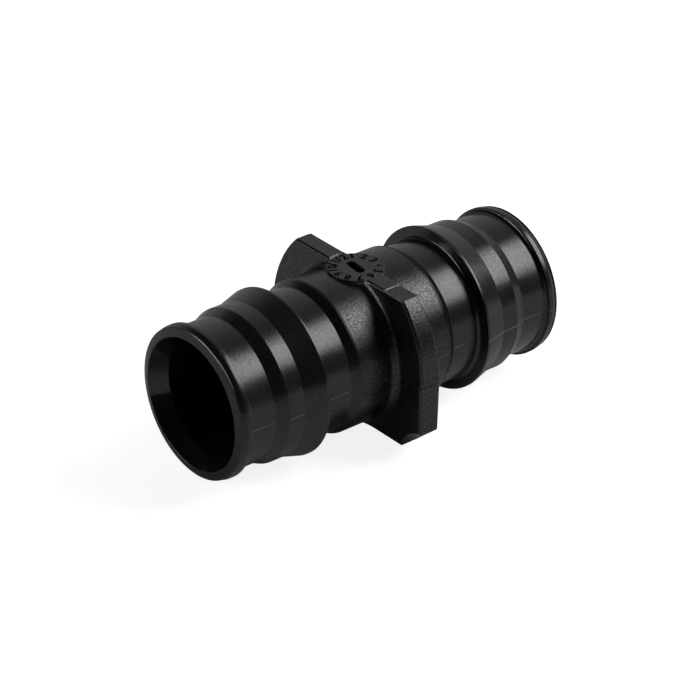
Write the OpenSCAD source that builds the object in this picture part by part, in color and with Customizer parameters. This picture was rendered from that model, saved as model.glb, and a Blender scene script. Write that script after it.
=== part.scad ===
// Straight moulded coupling for plastic water pipe that is stretched over the
// ends and shrinks back on them. One piece: a tube with a ribbed spigot at each
// end, and a stop flange in the middle with a flat top and cut lower corners.
// The bore runs along X with the origin halfway along it, and +Z is up.

/* [Length] */
// Length over both end faces
overall_len = 64.2; // [60:0.2:90]

/* [Bore] */
// Diameter of the straight waterway
bore_d = 18.4; // [15:0.1:20.6]
// Diameter of the bore's mouth at the end face
mouth_d = 21.6; // [20.8:0.1:22.4]
// Length of the tapered lead-in behind the mouth
lead_in_len = 2.8; // [1:0.1:7]

/* [Lip at the end] */
// Outside diameter of the lip
lip_d = 24.9; // [24.6:0.1:25]
// Distance from the end face to the foot of the lip
lip_len = 2.9; // [2.6:0.1:4]
// Length of the lip's straight outside
lip_land_len = 0.8; // [0.3:0.1:0.9]
// Diameter at which the domed end face turns into the bevelled edge
lip_nose_d = 24.2; // [23.4:0.1:24.4]
// How far the end face falls back between the mouth and that diameter
lip_dome = 0.35; // [0.1:0.05:0.6]

/* [Ribs] */
// Diameter of the grooves on the outside
core_d = 23.4; // [22.8:0.1:23.8]
// Length of the groove behind the lip
front_groove_len = 4.2; // [2:0.1:6]
// Length of the slope up to the low rib
front_ramp_len = 2; // [1:0.1:4]
// Outside diameter of the low rib
front_rib_d = 25.1; // [25.1:0.1:26]
// Length of the low rib's straight land
front_land_len = 3; // [1.5:0.1:4]
// Length of the slope from the low rib up to the high rib
rear_ramp_len = 3.7; // [2:0.1:5]
// Outside diameter of the high rib
rear_rib_d = 27.2; // [26.4:0.1:28.4]
// Length of the high rib's straight crest
crest_len = 0.4; // [0.2:0.1:1.5]
// Lean of the wall on the back of the high rib
rib_back_len = 0.3; // [0.1:0.05:0.8]
// Radius in the corner between that wall and the groove
rib_root_r = 0.6; // [0.2:0.1:0.8]

/* [Body] */
// Length of the groove behind the high rib
rear_groove_len = 4.4; // [3:0.1:6]
// Length of the slope from that groove up to the body
shoulder_len = 1.6; // [0.6:0.1:2]
// Outside diameter of the body
body_d = 25; // [24.6:0.1:25.4]
// Radius in the corner between the body and the flange
flange_root_r = 1.7; // [0.6:0.1:4]

/* [Flange] */
// Thickness of the flange
flange_t = 3.7; // [2:0.05:5]
// Diameter of the flange's round upper half
flange_d = 36.4; // [36.4:0.1:38]
// Width of the lower half across its straight sides
flange_w = 36.1; // [34.8:0.1:36.4]
// Height of the flat top above the bore's axis
flange_top_h = 12.75; // [12.75:0.05:14]
// Depth of the flat bottom below the bore's axis
flange_bottom_h = 12.4; // [12:0.05:13]
// Width of the flat bottom
flange_bottom_w = 27; // [20:0.2:30]
// Depth below the axis at which the straight sides turn inwards
flange_side_h = 8.8; // [4:0.2:10]

/* [Marking] */
// Diameter of the round date dial, which stands on the body
dial_d = 9.2; // [8:0.2:9.6]
// How far the dial and the plain end of the top lie below the flat top
mark_depth = 0.15; // [0.05:0.05:0.2]
// Distance from the middle to that plain end on the -Y side
plain_end = 7.75; // [5:0.25:9]
// Length of the slot in the middle of the dial
slot_len = 4; // [2:0.1:5]
// Width of that slot
slot_w = 1.5; // [0.8:0.1:2]
// Depth of that slot below the dial
slot_depth = 1.1; // [0.3:0.1:1.5]

/* [Hidden] */
$fn = 144;

half_len = overall_len / 2;
half_t = flange_t / 2;
bore_r = bore_d / 2;
mouth_r = mouth_d / 2;
core_r = core_d / 2;
body_r = body_d / 2;
lip_r = lip_d / 2;
front_rib_r = front_rib_d / 2;
rear_rib_r = rear_rib_d / 2;
// How far a cutting shape reaches past the surface that it opens
past = 1;

// Places along the bore's axis, from the end face inwards
lip_front = half_len - lip_dome;
lip_foot = half_len - lip_len;
lip_back_r = lip_r - core_r;
lip_back = lip_foot + lip_back_r;
front_groove_end = lip_foot - front_groove_len;
front_land_start = front_groove_end - front_ramp_len;
front_land_end = front_land_start - front_land_len;
crest_start = front_land_end - rear_ramp_len;
crest_end = crest_start - crest_len;
rib_wall_foot = crest_end - rib_back_len;
rear_groove_start = rib_wall_foot - rib_root_r;
rear_groove_end = rear_groove_start - rear_groove_len;
body_end = rear_groove_end - shoulder_len;
flange_root = half_t + flange_root_r;
dial_h = flange_top_h - mark_depth;
// Height at which the dial's block starts, inside the body's wall
dial_foot_h = (2 * bore_r + body_r) / 3;

// The disc that the flange is cut from, wide enough for all of its outline
disc_r = sqrt(pow(flange_w / 2, 2) + pow(max(flange_top_h, flange_side_h), 2)) + past;

// Half of the tube's section, as [radius, place along the axis]
module half_section() {
    polygon([
        [0, 0],
        [disc_r, 0],
        [disc_r, half_t],
        [body_r + flange_root_r, half_t],
        [body_r, flange_root],
        [body_r, body_end],
        [core_r, rear_groove_end],
        [core_r, rear_groove_start],
        [core_r + rib_root_r, rib_wall_foot],
        [rear_rib_r, crest_end],
        [rear_rib_r, crest_start],
        [front_rib_r, front_land_end],
        [front_rib_r, front_land_start],
        [core_r, front_groove_end],
        [core_r, lip_foot],
        [lip_r, lip_back],
        [lip_r, lip_back + lip_land_len],
        [lip_nose_d / 2, lip_front],
        [mouth_r, half_len],
        [0, half_len]
    ]);
}

// Waterway with its tapered mouth
module half_bore() {
    polygon([
        [0, -past],
        [bore_r, -past],
        [bore_r, half_len - lead_in_len],
        [mouth_r, half_len],
        [mouth_r, half_len + past],
        [0, half_len + past]
    ]);
}

// Round corner at the foot of a wall, which leaves the tube's outside at a place
module corner(radius, place, r) {
    translate([radius + r, place]) circle(r);
}

// The section of one half, with its corners rounded out
module rounded_section() {
    difference() {
        half_section();
        corner(body_r, flange_root, flange_root_r);
        corner(core_r, rear_groove_start, rib_root_r);
        corner(core_r, lip_foot, lip_back_r);
        half_bore();
    }
}

// Tube, ribs and the round disc of the flange, turned about the bore's axis
module turned_blank() {
    rotate([0, 90, 0])
        rotate_extrude()
            union() {
                rounded_section();
                mirror([0, 1]) rounded_section();
            }
}

// Outline of the flange seen along the bore, as [Y, Z]
module flange_outline() {
    intersection() {
        circle(d = flange_d);
        union() {
            translate([-flange_d / 2, 0]) square([flange_d, dial_h]);
            translate([-plain_end, 0]) square([plain_end + flange_d / 2, flange_top_h]);
        }
    }
    polygon([
        [-flange_w / 2, 0],
        [-flange_w / 2, -flange_side_h],
        [-flange_bottom_w / 2, -flange_bottom_h],
        [flange_bottom_w / 2, -flange_bottom_h],
        [flange_w / 2, -flange_side_h],
        [flange_w / 2, 0]
    ]);
}

// Everything of the disc and its rounded roots that lies outside the outline
module flange_waste() {
    rotate([90, 0, 90])
        translate([0, 0, -flange_root - past])
            linear_extrude(2 * (flange_root + past))
                difference() {
                    circle(disc_r + past);
                    flange_outline();
                    circle(body_r);
                }
}

// Round block that the dial is on, as high as the dial
module dial_block() {
    translate([0, 0, dial_foot_h]) cylinder(d = dial_d, h = dial_h - dial_foot_h);
}

// Shallow round dial in the middle of the top, with its slot along the flange
module dial_waste() {
    translate([0, 0, dial_h]) cylinder(d = dial_d, h = mark_depth + past);
    translate([0, 0, dial_h - slot_depth])
        linear_extrude(slot_depth + past) {
            square([slot_w, slot_len - slot_w], center = true);
            for (side = [-1, 1])
                translate([0, side * (slot_len - slot_w) / 2]) circle(d = slot_w);
        }
}

module coupling() {
    color("#1b1b1c")
        difference() {
            union() {
                difference() {
                    turned_blank();
                    flange_waste();
                }
                dial_block();
            }
            dial_waste();
        }
}

coupling();
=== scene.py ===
# Straight black coupling for expanded plastic pipe: two ribbed spigots and a stop flange.
# The skin is one mesh, worked out as profiles that stand round the bore like staves.
import math

import bmesh
import bpy
from mathutils import Matrix, Vector


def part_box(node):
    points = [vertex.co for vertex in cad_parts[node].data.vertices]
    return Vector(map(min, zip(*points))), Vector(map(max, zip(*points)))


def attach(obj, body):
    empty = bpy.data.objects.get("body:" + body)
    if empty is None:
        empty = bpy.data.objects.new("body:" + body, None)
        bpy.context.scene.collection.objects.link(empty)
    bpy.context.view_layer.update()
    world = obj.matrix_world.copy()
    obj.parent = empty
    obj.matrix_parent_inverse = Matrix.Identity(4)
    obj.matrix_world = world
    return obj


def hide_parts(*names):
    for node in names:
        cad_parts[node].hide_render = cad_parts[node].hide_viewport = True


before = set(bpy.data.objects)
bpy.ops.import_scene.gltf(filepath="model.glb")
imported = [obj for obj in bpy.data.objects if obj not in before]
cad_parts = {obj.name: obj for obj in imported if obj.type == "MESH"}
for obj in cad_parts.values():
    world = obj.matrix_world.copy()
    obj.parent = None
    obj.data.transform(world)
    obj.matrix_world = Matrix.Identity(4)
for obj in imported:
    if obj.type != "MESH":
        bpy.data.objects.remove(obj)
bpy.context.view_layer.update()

MM = 0.001
PART_LOW, PART_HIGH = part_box("coupling")

# Tube, in millimetres: lengths along the bore's axis, from the end face inwards
HALF_LEN = PART_HIGH[0] / MM
LEAD_IN_LEN = 2.8
LIP_DOME = 0.35
FLASH_SETBACK = 0.08
LIP_BEVEL_LEN = 0.3
LIP_LAND_LEN = 0.8
LIP_LEN = 2.9
FRONT_GROOVE_LEN = 4.2
FRONT_RAMP_LEN = 2
FRONT_LAND_LEN = 3
REAR_RAMP_LEN = 3.7
CREST_LEN = 0.4
RIB_BACK_LEN = 0.3
REAR_GROOVE_LEN = 5.3
SHOULDER_LEN = 1.3
GRAIN_SETBACK = 0.3

# Tube, in millimetres: radii, with the thin raised line on the lip called its flash
BORE_R = 9.2
MOUTH_R = 10.8
CORE_R = 11.7
LIP_R = 12.45
FLASH_R = 12.26
FLASH_FOOT_R = 12.12
FRONT_RIB_R = 12.55
REAR_RIB_R = 13.6
BODY_R = 12.5
OUTSIDE_R = (MOUTH_R + CORE_R) / 2

# Tube: places along the axis, and the step where the grained middle ends
LIP_FRONT = HALF_LEN - LIP_DOME
LIP_FOOT = HALF_LEN - LIP_LEN
LIP_BACK = LIP_FOOT + LIP_R - CORE_R
FRONT_GROOVE_END = LIP_FOOT - FRONT_GROOVE_LEN
FRONT_LAND_START = FRONT_GROOVE_END - FRONT_RAMP_LEN
FRONT_LAND_END = FRONT_LAND_START - FRONT_LAND_LEN
CREST_START = FRONT_LAND_END - REAR_RAMP_LEN
CREST_END = CREST_START - CREST_LEN
RIB_WALL_FOOT = CREST_END - RIB_BACK_LEN
REAR_GROOVE_END = RIB_WALL_FOOT - REAR_GROOVE_LEN
BODY_END = REAR_GROOVE_END - SHOULDER_LEN
GRAIN_END = BODY_END - GRAIN_SETBACK
STEP_W = 0.2
STEP_H = 0.08

# Flange, in millimetres, and how much each face leans in per millimetre above and below the axis
ROOT_R = 1.3
HALF_T = 2.02
EDGE_R = 0.42
FLANGE_R = 18.2
FLANGE_HALF_W = 18.05
TOP_H = 12.96
BOTTOM_H = 12.4
BOTTOM_HALF_W = 13.5
SIDE_H = 8.5
UPPER_DRAFT = 0.029
LOWER_DRAFT = 0.016
ROOT_START = HALF_T + ROOT_R
ROOT_CENTRE_R = BODY_R + ROOT_R
BODY_CLEARANCE = 0.01
LEAST_REACH = BODY_R + BODY_CLEARANCE - EDGE_R

# Witness line of the mould's two halves, in millimetres: a slit a little below the axis
SEAM_HALF_W = 0.1
SEAM_FLOOR_HALF_W = 0.07
SEAM_DEPTH = 0.3
SEAM_SINK = 0.15
SEAM_REACH = FLANGE_HALF_W - SEAM_DEPTH - EDGE_R
TUBE_SEAM_DEPTH = 0.03

# Date dial and the plain end of the top, in millimetres
DIAL_R = 4.6
DIAL_FOOT_H = 10.7
DIAL_EDGE = 0.13
MARK_DEPTH = 0.15
MARK_H = TOP_H - MARK_DEPTH
RISER_W = 0.2
PLAIN_END = 8.7
SLOT_LEN = 4
SLOT_W = 1.5
SLOT_DEPTH = 1.1
SLOT_TURN = math.radians(-7)
SLOT_FLARE = 1.02
NUMBER_RING_R = 3.52
NUMBER_H = 1.4
NUMBER_WEIGHT = 0.08
NUMBER_DEPTH = 0.6
NUMBER_SPACING = 1.1
NUMBERS = 12
# Height of a numeral over the size of its letters
NUMERAL_SHARE = 0.7

# Mark where the runner was broken off the flange's lower corner, in millimetres
SCAR_R = 7
SCAR_DEPTH = 1.05
SCAR_LEN = 8
SCAR_MIDDLE = Vector((-1.9, -16.3, -10.4))
SCAR_OUT = Vector((-0.7, -0.43, -0.56)).normalized()
SCAR_ALONG = Vector((0.7, -0.43, -0.56))

# Fineness of the mesh, with SUPPORT the width of the flat strip beside a rounded edge
STAVE_ANGLE = math.radians(1.5)
ARC_STEP = math.radians(15)
EDGE_STEPS = 5
ROOT_STEPS = 12
FAN_STEPS = 4
DIAL_STEPS = 96
DIAL_CUT_STEPS = 90
SLOT_STEPS = 48
SCAR_STEPS = 48
NUMERAL_STEPS = 3
SHARP_ANGLE = math.radians(32)
MERGE = 0.0005 * MM
SUPPORT = 0.06

# How far the cutters clear what they cut, in millimetres, and the turn that keeps two rings of
# points apart, as a share of one step
CUT_PAST = 1
DIAL_CLEARANCE = 0.02
DIAL_CUT_SINK = 0.005
DIAL_CUT_TURN = 0.3
FAR = 30


def turn(angle):
    """Unit vector at an angle from the first axis."""
    return Vector((math.cos(angle), math.sin(angle)))


def rounded(corners):
    """Path through corners given as (place, radius, rounding), with arcs for the roundings."""
    path = []
    for i, (place, radius, rounding) in enumerate(corners):
        here = Vector((place, radius))
        if not rounding:
            path.append(here)
            continue
        back = (Vector(corners[i - 1][:2]) - here).normalized()
        ahead = (Vector(corners[i + 1][:2]) - here).normalized()
        half = back.angle(ahead) / 2
        centre = here + (back + ahead).normalized() * rounding / math.sin(half)
        reach = rounding / math.tan(half)
        start = (here + back * reach - centre).normalized()
        end = (here + ahead * reach - centre).normalized()
        steps = max(2, math.ceil((math.pi - 2 * half) / ARC_STEP))
        path += [centre + start.slerp(end, k / steps) * rounding for k in range(steps + 1)]
    return path


def tube_profile():
    """Half of the tube's surface, from the flange's root out to the mouth and back inside."""
    return rounded([
        (ROOT_START + SUPPORT, BODY_R, 0),
        (GRAIN_END, BODY_R, 0),
        (GRAIN_END + STEP_W / 2, BODY_R - STEP_H, 0),
        (GRAIN_END + STEP_W, BODY_R, 0),
        (BODY_END, BODY_R, 0.12),
        (REAR_GROOVE_END, CORE_R, 0.5),
        (RIB_WALL_FOOT, CORE_R, 0.6),
        (CREST_END, REAR_RIB_R, 0.1),
        (CREST_START, REAR_RIB_R, 0.25),
        (FRONT_LAND_END, FRONT_RIB_R, 0.6),
        (FRONT_LAND_START, FRONT_RIB_R, 0.4),
        (FRONT_GROOVE_END, CORE_R, 0.4),
        (LIP_BACK, CORE_R, 0.7),
        (LIP_BACK, LIP_R, 0.06),
        (LIP_BACK + LIP_LAND_LEN, LIP_R, 0.35),
        (LIP_FRONT - LIP_BEVEL_LEN, FLASH_FOOT_R, 0.05),
        (LIP_FRONT - FLASH_SETBACK, FLASH_R, 0.05),
        (LIP_FRONT, FLASH_FOOT_R, 0.05),
        (HALF_LEN, MOUTH_R, 0.15),
        (HALF_LEN - LEAD_IN_LEN, BORE_R, 0.3),
        (0, BORE_R, 0),
    ])


def meeting(angle_a, reach_a, angle_b, reach_b):
    """Point that lies reach_a out along angle_a and reach_b out along angle_b."""
    a, b = turn(angle_a), turn(angle_b)
    det = a.x * b.y - a.y * b.x
    return Vector(((reach_a * b.y - reach_b * a.y) / det, (reach_b * a.x - reach_a * b.x) / det))


def polar(point):
    """Angle of a point, as turn() takes it."""
    return math.atan2(point.y, point.x)


def between(start, end):
    """Angles from start to end in steps of about one stave, both ends included."""
    steps = max(1, math.ceil(abs(end - start) / STAVE_ANGLE))
    return [start + (end - start) * k / steps for k in range(steps + 1)]


def half_outline():
    """Staves of the +Y half, from straight down to straight up, as (angle, reach, facing).

    The reach is that of the outline moved in by the edge's radius, and facing is the
    angle that the rim looks to. A corner is a fan of staves at one angle.
    """
    cut_facing = math.atan2(BOTTOM_HALF_W - FLANGE_HALF_W, BOTTOM_H - SIDE_H)
    cut_reach = turn(cut_facing).dot(Vector((FLANGE_HALF_W, -SIDE_H))) - EDGE_R
    down, up = -math.pi / 2, math.pi / 2
    low_corner = meeting(down, BOTTOM_H - EDGE_R, cut_facing, cut_reach)
    side_corner = meeting(cut_facing, cut_reach, 0, FLANGE_HALF_W - EDGE_R)
    top_z = TOP_H - EDGE_R
    top_corner = Vector((math.sqrt((FLANGE_R - EDGE_R) ** 2 - top_z ** 2), top_z))
    seam, seam_floor, seam_half = (w / FLANGE_R for w in (-SEAM_SINK, SEAM_FLOOR_HALF_W, SEAM_HALF_W))
    staves = []

    def straight(facing, reach, start, end):
        for angle in between(start, end):
            staves.append((angle, reach / math.cos(angle - facing), facing))

    def fan(corner, start, end):
        for k in range(1, FAN_STEPS):
            staves.append((polar(corner), corner.length, start + (end - start) * k / FAN_STEPS))

    straight(down, BOTTOM_H - EDGE_R, down, polar(low_corner))
    fan(low_corner, down, cut_facing)
    straight(cut_facing, cut_reach, polar(low_corner), polar(side_corner))
    fan(side_corner, cut_facing, 0)
    straight(0, FLANGE_HALF_W - EDGE_R, polar(side_corner), seam - seam_half)
    for angle in (seam - seam_floor, seam, seam + seam_floor):
        staves.append((angle, SEAM_REACH, 0))
    for angle in between(seam + seam_half, polar(top_corner)):
        staves.append((angle, FLANGE_R - EDGE_R, angle))
    fan(top_corner, polar(top_corner), up)
    straight(up, top_z, polar(top_corner), up)
    # Where the flat bottom would lie inside the body, the edge follows the body
    return [stave if stave[1] > LEAST_REACH else (stave[0], LEAST_REACH, stave[0]) for stave in staves]


def outline():
    """Staves all round the bore, the -Y half mirrored from the +Y half."""
    right = half_outline()
    left = [(math.pi - angle, reach, math.pi - facing) for angle, reach, facing in right]
    return right + left[-2:0:-1]


def flange_stave(angle, reach, facing):
    """Half of the flange's skin on one stave, from the middle of the rim to the body."""
    out = turn(angle)
    rim = turn(facing)
    lift = ROOT_CENTRE_R - reach
    if lift <= 0:
        edge_x = HALF_T - EDGE_R
        lean = 0
    else:
        lean = math.asin(min(1, lift / (ROOT_R + EDGE_R)))
        edge_x = ROOT_START - (ROOT_R + EDGE_R) * math.cos(lean)
    centre = Vector((edge_x, *(out * reach)))
    rim_way = Vector((0, *rim))
    face_way = Vector((math.cos(lean), *(out * math.sin(lean))))
    points = [Vector((0, *(centre.yz + rim * EDGE_R)))]
    points.append(Vector((max(0, edge_x - SUPPORT), *(centre.yz + rim * EDGE_R))))
    points += [centre + rim_way.slerp(face_way, k / EDGE_STEPS) * EDGE_R for k in range(EDGE_STEPS + 1)]
    if lift < -SUPPORT:
        points.append(Vector((HALF_T, *(out * (reach - SUPPORT)))))
        points.append(Vector((HALF_T, *(out * (ROOT_CENTRE_R + SUPPORT)))))
    else:
        points += [points[-1].copy(), points[-1].copy()]
    for k in range(ROOT_STEPS + 1):
        bend = lean + (math.pi / 2 - lean) * k / ROOT_STEPS
        radius = ROOT_CENTRE_R - ROOT_R * math.sin(bend)
        points.append(Vector((ROOT_START - ROOT_R * math.cos(bend), *(out * radius))))
    for point in points[1:]:
        point.x -= abs(point.z) * (UPPER_DRAFT if point.z > 0 else LOWER_DRAFT)
    return points


def tube_stave(angle, dip, profile):
    """Half of the tube's skin on one stave, with the outside sunk by the dip."""
    return [Vector((place, *(turn(angle) * (radius - (dip if radius > OUTSIDE_R else 0)))))
            for place, radius in profile]


def skin():
    """The whole skin: staves all round the bore, mirrored to the other side of the flange."""
    profile = tube_profile()
    staves = []
    for angle, reach, facing in outline():
        dip = TUBE_SEAM_DEPTH if reach == SEAM_REACH else 0
        staves.append(flange_stave(angle, reach, facing) + tube_stave(angle, dip, profile))
    mesh = bmesh.new()
    for side in (1, -1):
        rows = [[mesh.verts.new((p.x * side * MM, p.y * MM, p.z * MM)) for p in stave] for stave in staves]
        for j, row in enumerate(rows):
            across = rows[(j + 1) % len(rows)]
            for i in range(len(row) - 1):
                corners = [row[i], row[i + 1], across[i + 1], across[i]]
                mesh.faces.new(corners if side > 0 else corners[::-1])
    bmesh.ops.remove_doubles(mesh, verts=mesh.verts, dist=MERGE)
    bmesh.ops.recalc_face_normals(mesh, faces=mesh.faces)
    return mesh


def new_object(name, mesh):
    """Object in the scene with the given mesh, which is used up."""
    data = bpy.data.meshes.new(name)
    mesh.to_mesh(data)
    mesh.free()
    piece = bpy.data.objects.new(name, data)
    bpy.context.scene.collection.objects.link(piece)
    return piece


def prism(outline_points, low, high):
    """Closed cutter from an outline of (point at low, point at high) pairs."""
    mesh = bmesh.new()
    floor = [mesh.verts.new((a[0] * MM, a[1] * MM, low * MM)) for a, b in outline_points]
    roof = [mesh.verts.new((b[0] * MM, b[1] * MM, high * MM)) for a, b in outline_points]
    mesh.faces.new(floor[::-1])
    mesh.faces.new(roof)
    for i in range(len(floor)):
        k = (i + 1) % len(floor)
        mesh.faces.new((floor[i], floor[k], roof[k], roof[i]))
    return mesh


def dial_block():
    """Round block that carries the dial, from inside the body's wall up to the dial."""
    profile = [
        (0, DIAL_FOOT_H),
        (DIAL_R, DIAL_FOOT_H),
        (DIAL_R, MARK_H - DIAL_EDGE),
        (DIAL_R - DIAL_EDGE, MARK_H),
        (0, MARK_H),
    ]
    mesh = bmesh.new()
    rings = []
    for radius, height in profile:
        ways = [turn(2 * math.pi * k / DIAL_STEPS) for k in range(DIAL_STEPS if radius else 1)]
        rings.append([mesh.verts.new((way.x * radius * MM, way.y * radius * MM, height * MM))
                      for way in ways])
    for low, up in zip(rings, rings[1:]):
        for k in range(DIAL_STEPS):
            near, far = k, (k + 1) % DIAL_STEPS
            corners = [low[near % len(low)], low[far % len(low)], up[far % len(up)], up[near % len(up)]]
            mesh.faces.new(list(dict.fromkeys(corners)))
    return mesh


def riser_flare(low, high):
    """How far the lean of a riser carries its wall from low up to high."""
    return RISER_W * (high - low) / MARK_DEPTH


def dial_cutter():
    """Shallow round recess whose wall leans out."""
    low = MARK_H - DIAL_CUT_SINK
    high = TOP_H + CUT_PAST
    radius = DIAL_R + DIAL_CLEARANCE
    flare = riser_flare(low, high)
    ring = [turn(2 * math.pi * (k + DIAL_CUT_TURN) / DIAL_CUT_STEPS) for k in range(DIAL_CUT_STEPS)]
    return prism([(way * radius, way * (radius + flare)) for way in ring], low, high)


def plain_end_cutter():
    """Takes the top down to the dial's height from a leaning riser to the end on the -Y side."""
    high = TOP_H + CUT_PAST
    near = -PLAIN_END
    near_top = near + riser_flare(MARK_H, high)
    corners = [(-FAR, -FAR), (FAR, -FAR), (FAR, near), (-FAR, near)]
    tops = [(-FAR, -FAR), (FAR, -FAR), (FAR, near_top), (-FAR, near_top)]
    return prism(list(zip(corners, tops)), MARK_H, high)


def slot_cutter():
    """Slot with round ends, turned a little about the dial's middle."""
    half = (SLOT_LEN - SLOT_W) / 2
    ring = []
    for k in range(SLOT_STEPS):
        way = turn(2 * math.pi * (k + 0.5) / SLOT_STEPS)
        end = half if way.y > 0 else -half
        ring.append(Matrix.Rotation(SLOT_TURN, 2) @ (way * SLOT_W / 2 + Vector((0, end))))
    return prism([(p, p * SLOT_FLARE) for p in ring], MARK_H - SLOT_DEPTH, TOP_H + CUT_PAST)


def scar_cutter():
    """Thumb-shaped cut where the runner was broken off the lower corner."""
    along = (SCAR_ALONG - SCAR_OUT * SCAR_ALONG.dot(SCAR_OUT)).normalized()
    mesh = bmesh.new()
    bmesh.ops.create_cone(mesh, cap_ends=True, segments=SCAR_STEPS,
                          radius1=SCAR_R * MM, radius2=SCAR_R * MM, depth=SCAR_LEN * MM)
    place = Matrix.Translation((SCAR_MIDDLE + SCAR_OUT * (SCAR_R - SCAR_DEPTH)) * MM)
    spin = Vector((0, 0, 1)).rotation_difference(along).to_matrix().to_4x4()
    bmesh.ops.transform(mesh, matrix=place @ spin, verts=mesh.verts)
    return mesh


def number_cutter(value):
    """One number of the dial as a closed block, standing on the ring with its foot inwards."""
    curve = bpy.data.curves.new("number", "FONT")
    curve.body = str(value)
    curve.size = NUMBER_H * MM / NUMERAL_SHARE
    curve.align_x = "CENTER"
    curve.align_y = "CENTER"
    curve.extrude = NUMBER_DEPTH * MM
    # The small counter of a 4 would close up if its strokes were thickened
    curve.offset = 0 if value == 4 else NUMBER_WEIGHT * MM
    curve.resolution_u = NUMERAL_STEPS
    curve.space_character = NUMBER_SPACING
    glyph = bpy.data.objects.new("number", curve)
    bpy.context.scene.collection.objects.link(glyph)
    data = bpy.data.meshes.new_from_object(glyph.evaluated_get(bpy.context.evaluated_depsgraph_get()))
    bpy.data.objects.remove(glyph)
    mesh = bmesh.new()
    mesh.from_mesh(data)
    bmesh.ops.remove_doubles(mesh, verts=mesh.verts, dist=MERGE)
    angle = math.pi / 2 - 2 * math.pi * value / NUMBERS
    way = turn(angle) * NUMBER_RING_R
    place = Matrix.Translation(Vector((way.x, way.y, MARK_H)) * MM)
    bmesh.ops.transform(mesh, matrix=place @ Matrix.Rotation(angle - math.pi / 2, 4, "Z"), verts=mesh.verts)
    return mesh


def cut(piece, name, mesh, operation="DIFFERENCE"):
    """Take a closed shape away from a piece for good, or add it."""
    tool = new_object(name, mesh)
    # The exact solver wants flat faces, so each step starts from triangles
    flat = bmesh.new()
    flat.from_mesh(piece.data)
    bmesh.ops.triangulate(flat, faces=flat.faces)
    flat.to_mesh(piece.data)
    flat.free()
    step = piece.modifiers.new(name, "BOOLEAN")
    step.operation = operation
    step.solver = "EXACT"
    step.object = tool
    data = bpy.data.meshes.new_from_object(piece.evaluated_get(bpy.context.evaluated_depsgraph_get()))
    piece.modifiers.clear()
    piece.data = data
    bpy.data.objects.remove(tool)


def srgb(code):
    """Linear colour of a hex code."""
    parts = [int(code[i:i + 2], 16) / 255 for i in (1, 3, 5)]
    return tuple(c / 12.92 if c <= 0.04045 else ((c + 0.055) / 1.055) ** 2.4 for c in parts) + (1,)


def add_node(tree, kind, inputs=None, **settings):
    """Node with its settings, and its inputs set to values or linked to sockets."""
    node = tree.nodes.new(kind)
    for name, value in settings.items():
        setattr(node, name, value)
    for name, value in (inputs or {}).items():
        if isinstance(value, bpy.types.NodeSocket):
            tree.links.new(value, node.inputs[name])
        else:
            node.inputs[name].default_value = value
    return node


def per_mm(size):
    """Texture scale for a feature of a size in millimetres, in object coordinates in metres."""
    return 1 / (size * MM)


# Patterns in the resin: sizes in millimetres, and the span of each noise that is used
RESIN_IOR = 1.6
CLOUD_SIZE = 6
CLOUD_SPAN = (0.3, 0.7)
SPECK_SIZE = 0.24
SPECK_SPAN = (0.35, 0.65)
EVEN_GLOSS = 0.5
STREAK_SIZE = 0.9
# The streaks are drawn out along the bore to the inverse of this share
STREAK_SHARE = 0.12

# Places of the finishes in the coupling's list, and where the core pin's polish ends, in millimetres
SATIN, GRAINED, GLOSSY = range(3)
POLISH_R = MOUTH_R - 0.05


def polymer(name, colour, roughness, grain, bump, streak_bump, speckle):
    """Black moulded polysulfone: a dark resin that shows little but its own gloss.

    The roughness runs between two values in soft clouds. The grain's size and the two
    bumps are in millimetres, and the speckle is how far the gloss strays from even.
    """
    material = bpy.data.materials.new(name)
    material.use_nodes = True
    tree = material.node_tree
    shader = tree.nodes["Principled BSDF"]
    shader.inputs["Base Color"].default_value = srgb(colour)
    shader.inputs["IOR"].default_value = RESIN_IOR
    place = add_node(tree, "ShaderNodeTexCoord").outputs["Object"]
    clouds = add_node(tree, "ShaderNodeTexNoise", {
        "Vector": place, "Scale": per_mm(CLOUD_SIZE), "Detail": 3})
    rough = add_node(tree, "ShaderNodeMapRange", {
        "Value": clouds.outputs["Fac"], "From Min": CLOUD_SPAN[0], "From Max": CLOUD_SPAN[1],
        "To Min": roughness[0], "To Max": roughness[1]})
    tree.links.new(rough.outputs["Result"], shader.inputs["Roughness"])
    grains = add_node(tree, "ShaderNodeTexNoise", {
        "Vector": place, "Scale": per_mm(grain), "Detail": 2, "Roughness": 0.6})
    specks = add_node(tree, "ShaderNodeTexNoise", {
        "Vector": place, "Scale": per_mm(SPECK_SIZE), "Detail": 1})
    sheen = add_node(tree, "ShaderNodeMapRange", {
        "Value": specks.outputs["Fac"], "From Min": SPECK_SPAN[0], "From Max": SPECK_SPAN[1],
        "To Min": EVEN_GLOSS - speckle, "To Max": EVEN_GLOSS + speckle})
    tree.links.new(sheen.outputs["Result"], shader.inputs["Specular IOR Level"])
    long_way = add_node(tree, "ShaderNodeMapping", {"Vector": place, "Scale": (STREAK_SHARE, 1, 1)})
    streaks = add_node(tree, "ShaderNodeTexNoise", {
        "Vector": long_way.outputs["Vector"], "Scale": per_mm(STREAK_SIZE), "Detail": 3})
    first = add_node(tree, "ShaderNodeBump", {
        "Height": streaks.outputs["Fac"], "Strength": 1, "Distance": streak_bump * MM})
    second = add_node(tree, "ShaderNodeBump", {
        "Height": grains.outputs["Fac"], "Strength": 1, "Distance": bump * MM,
        "Normal": first.outputs["Normal"]})
    tree.links.new(second.outputs["Normal"], shader.inputs["Normal"])
    return material


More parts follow.
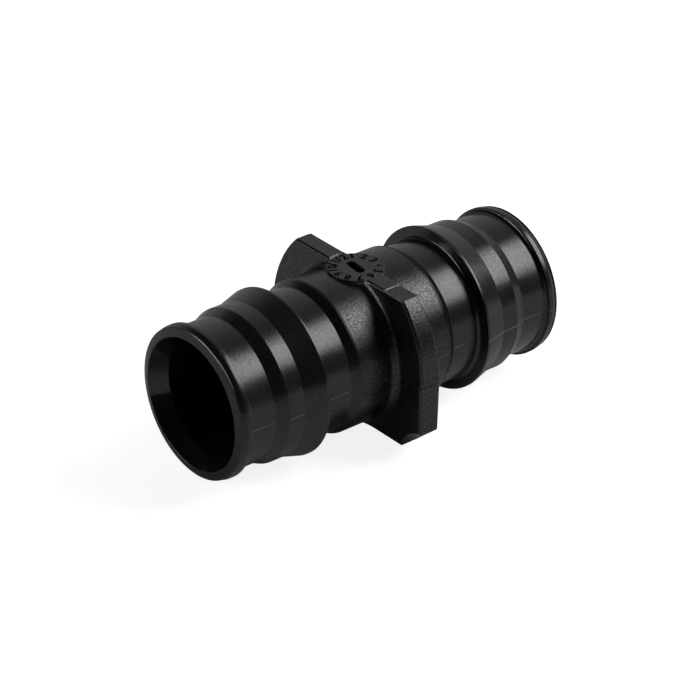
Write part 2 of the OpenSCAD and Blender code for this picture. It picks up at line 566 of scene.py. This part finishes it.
def finishes():
    """The finishes of the one moulding, in the order of their places in the list."""
    # Fine-ground steel leaves the spigots satin: soft broad highlights with an even edge
    satin = polymer("satin_moulded_polysulfone", "#171718", roughness=(0.19, 0.26),
                    grain=0.3, bump=0.015, streak_bump=0.004, speckle=0.1)
    # Spark-eroded steel leaves the middle grained: highlights that break up into specks.
    # The real grain is too fine to show from here, so it is drawn about three times as coarse
    grained = polymer("spark_grained_polysulfone", "#18181a", roughness=(0.22, 0.28),
                      grain=0.24, bump=0.04, streak_bump=0.001, speckle=0.24)
    # The polished core pin leaves the bore glossy: it mirrors the paper with a sharp limit
    glossy = polymer("core_polished_polysulfone", "#171718", roughness=(0.08, 0.11),
                     grain=0.3, bump=0.004, streak_bump=0.002, speckle=0.1)
    return [satin, grained, glossy]


def finish_of(face):
    """Place in the list of finishes of the one that a face of the coupling has."""
    middle = face.center
    if math.hypot(middle.y, middle.z) < POLISH_R * MM and middle.yz.dot(face.normal.yz) < 0:
        return GLOSSY
    if abs(middle.x) < (GRAIN_END + STEP_W / 2) * MM:
        return GRAINED
    return SATIN


def coupling():
    """The whole moulding as one piece, with its cuts, marks and finishes."""
    piece = new_object("coupling_skin", skin())
    cut(piece, "dial_block", dial_block(), "UNION")
    cut(piece, "dial", dial_cutter())
    cut(piece, "plain_end", plain_end_cutter())
    cut(piece, "slot", slot_cutter())
    cut(piece, "scar", scar_cutter())
    for value in range(1, NUMBERS + 1):
        cut(piece, "number", number_cutter(value))
    piece.data.materials.clear()
    for finish in finishes():
        piece.data.materials.append(finish)
    for face in piece.data.polygons:
        face.material_index = finish_of(face)
        face.use_smooth = True
    piece.data.set_sharp_from_angle(angle=SHARP_ANGLE)
    even = piece.modifiers.new("even_shading", "WEIGHTED_NORMAL")
    even.keep_sharp = True
    even.weight = 80
    return piece


skin_piece = coupling()
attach(skin_piece, "root")
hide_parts("coupling")

# Studio: white paper below, a softbox beside the far end and a narrow strip behind the near end
FLOOR_Z = PART_LOW[2]
FLOOR_HALF = 3
# Glow of the paper in the camera's view and in the resin's gloss. The gloss gets little,
# because black resin mirrors the lit paper as it is
FLOOR_LIFT = 0.86
GLOSS_LIFT = 0.02
# Each panel as azimuth and height in degrees, width and length in metres, and radiance
SOFTBOX = (-28, 40, (0.62, 0.5), 4.6)
STRIP = (155, 15, (0.5, 0.1), 11)
LAMP_DISTANCE = 0.8
LAMP_HEM = 0.5
# Where a panel's light falls off, as distance from its middle over its half size
LAMP_FALL = (0.75, 1.3)

# Room: even, dark on the camera's side and with a pale patch behind, whose limits are
# given as cosines of the angle from its middle
ROOM = 0.12
ROOM_DARK = 0.03
DARK_AZIMUTH = math.radians(-118)
DARK_RISE = 0.15
DARK_LIMITS = (0.45, 0.75)
GLOW = 0.34
GLOW_AZIMUTH = math.radians(45)
GLOW_HEIGHT = math.radians(10)
GLOW_LIMITS = (0.5, 0.98)
# A black card over the near end keeps the mouth dark
CARD_WAY = (-0.83, 0.25, 0.5)
CARD_SHARE = 0.1
CARD_LIMITS = (0.2, 0.6)


def straight_sight(tree):
    """Socket that is 1 for rays of the camera and for those that have passed through glass."""
    path = add_node(tree, "ShaderNodeLightPath")
    return add_node(tree, "ShaderNodeMath", {
        0: path.outputs["Is Camera Ray"], 1: path.outputs["Is Transmission Ray"]},
        operation="MAXIMUM").outputs[0]


def floor():
    """Sheet of matt white paper under the part, which shows white and takes a soft shadow."""
    mesh = bmesh.new()
    bmesh.ops.create_grid(mesh, x_segments=1, y_segments=1, size=FLOOR_HALF)
    bmesh.ops.translate(mesh, vec=(0, 0, FLOOR_Z), verts=mesh.verts)
    plane = new_object("floor", mesh)
    # Uncoated pressed paper: no highlight, and an even white up to the horizon
    material = bpy.data.materials.new("white_sweep_paper")
    material.use_nodes = True
    tree = material.node_tree
    shader = tree.nodes["Principled BSDF"]
    shader.inputs["Base Color"].default_value = srgb("#e2e2e2")
    shader.inputs["Roughness"].default_value = 0.9
    shader.inputs["Emission Color"].default_value = srgb("#ffffff")
    path = add_node(tree, "ShaderNodeLightPath")
    gloss = add_node(tree, "ShaderNodeMath", {
        0: path.outputs["Is Glossy Ray"], 1: GLOSS_LIFT}, operation="MULTIPLY")
    lift = add_node(tree, "ShaderNodeMath", {
        0: straight_sight(tree), 1: FLOOR_LIFT, 2: gloss.outputs[0]}, operation="MULTIPLY_ADD")
    tree.links.new(lift.outputs[0], shader.inputs["Emission Strength"])
    plane.data.materials.append(material)


def lamp(name, azimuth, height, size, radiance):
    """Soft panel whose light falls off towards its edges."""
    mesh = bmesh.new()
    bmesh.ops.create_grid(mesh, x_segments=1, y_segments=1, size=0.5)
    bmesh.ops.scale(mesh, vec=(*size, 1), verts=mesh.verts)
    panel = new_object(name, mesh)
    rise = math.radians(height)
    way = Vector((*turn(math.radians(azimuth)) * math.cos(rise), math.sin(rise)))
    facing = way.to_track_quat("Z", "Y").to_matrix().to_4x4()
    panel.matrix_world = Matrix.Translation(way * LAMP_DISTANCE) @ facing
    # Woven cloth lit from behind: an even glow that fades at the hem, so highlights end softly
    material = bpy.data.materials.new(f"{name}_cloth")
    material.use_nodes = True
    tree = material.node_tree
    tree.nodes.clear()
    place = add_node(tree, "ShaderNodeTexCoord").outputs["Object"]
    share = add_node(tree, "ShaderNodeMapping", {
        "Vector": place, "Scale": (2 / size[0], 2 / size[1], 0)})
    spread = add_node(tree, "ShaderNodeVectorMath", {0: share.outputs["Vector"]}, operation="LENGTH")
    fall = add_node(tree, "ShaderNodeMapRange", {
        "Value": spread.outputs["Value"], "From Min": LAMP_FALL[0], "From Max": LAMP_FALL[1],
        "To Min": radiance, "To Max": LAMP_HEM}, interpolation_type="SMOOTHSTEP")
    glow = add_node(tree, "ShaderNodeEmission", {"Strength": fall.outputs["Result"]})
    add_node(tree, "ShaderNodeOutputMaterial", {"Surface": glow.outputs["Emission"]})
    panel.data.materials.append(material)
    panel.visible_camera = False


def room_share(tree, way, middle, limits, outside, inside):
    """Socket that runs from outside to inside as a ray's way nears the middle of a patch."""
    nearness = add_node(tree, "ShaderNodeVectorMath", {0: way, 1: middle}, operation="DOT_PRODUCT")
    return add_node(tree, "ShaderNodeMapRange", {
        "Value": nearness.outputs["Value"], "From Min": limits[0], "From Max": limits[1],
        "To Min": outside, "To Max": inside}, interpolation_type="SMOOTHSTEP").outputs["Result"]


def room():
    """World that the gloss mirrors, and that the camera sees as white."""
    world = bpy.data.worlds.new("studio")
    bpy.context.scene.world = world
    world.use_nodes = True
    tree = world.node_tree
    tree.nodes.clear()
    way = add_node(tree, "ShaderNodeTexCoord").outputs["Generated"]
    dark_way = (*turn(DARK_AZIMUTH), DARK_RISE)
    glow_way = (*turn(GLOW_AZIMUTH) * math.cos(GLOW_HEIGHT), math.sin(GLOW_HEIGHT))
    level = room_share(tree, way, dark_way, DARK_LIMITS, ROOM, ROOM_DARK)
    glow = room_share(tree, way, glow_way, GLOW_LIMITS, 0, GLOW)
    card = room_share(tree, way, CARD_WAY, CARD_LIMITS, 1, CARD_SHARE)
    light = add_node(tree, "ShaderNodeMath", {0: level, 1: glow})
    shaded = add_node(tree, "ShaderNodeMath", {0: light.outputs[0], 1: card}, operation="MULTIPLY")
    strength = add_node(tree, "ShaderNodeMix", {
        0: straight_sight(tree), 2: shaded.outputs[0], 3: 1.0}, data_type="FLOAT")
    sky = add_node(tree, "ShaderNodeBackground", {"Strength": strength.outputs[0]})
    add_node(tree, "ShaderNodeOutputWorld", {"Surface": sky.outputs["Background"]})


# Camera, fitted to the outline in the photograph
CAMERA_AZIMUTH = math.radians(-40.19)
CAMERA_HEIGHT = math.radians(29.82)
CAMERA_ROLL = math.radians(0.85)
CAMERA_DISTANCE = 0.4771
CAMERA_CLIP = (0.01, 20)
FOCAL_PX = 3056
IMAGE_PX = 700
CENTRE_PX = (354.7, 339.0)
SENSOR_MM = 36


def camera():
    """Camera that looks past the part's middle, so that CENTRE_PX is where the middle shows."""
    data = bpy.data.cameras.new("camera")
    data.sensor_width = SENSOR_MM
    data.lens = FOCAL_PX * SENSOR_MM / IMAGE_PX
    data.clip_start, data.clip_end = CAMERA_CLIP
    view = bpy.data.objects.new("camera", data)
    bpy.context.scene.collection.objects.link(view)
    back = Vector((math.sin(CAMERA_AZIMUTH) * math.cos(CAMERA_HEIGHT),
                   -math.cos(CAMERA_AZIMUTH) * math.cos(CAMERA_HEIGHT), math.sin(CAMERA_HEIGHT)))
    right = (-back).cross(Vector((0, 0, 1))).normalized()
    basis = Matrix((right, back.cross(right), back)).transposed()
    tilt = Matrix.Rotation(CAMERA_ROLL, 3, "Z")
    aim_right = math.atan((IMAGE_PX / 2 - CENTRE_PX[0]) / FOCAL_PX)
    aim_up = math.atan((IMAGE_PX / 2 - CENTRE_PX[1]) / FOCAL_PX)
    aim = Matrix.Rotation(-aim_right, 3, "Y") @ Matrix.Rotation(-aim_up, 3, "X")
    view.matrix_world = Matrix.Translation(back * CAMERA_DISTANCE) @ (basis @ tilt @ aim).to_4x4()
    bpy.context.scene.camera = view


floor()
lamp("softbox", *SOFTBOX)
lamp("strip", *STRIP)
room()
camera()
bpy.context.scene.view_settings.view_transform = "Standard"
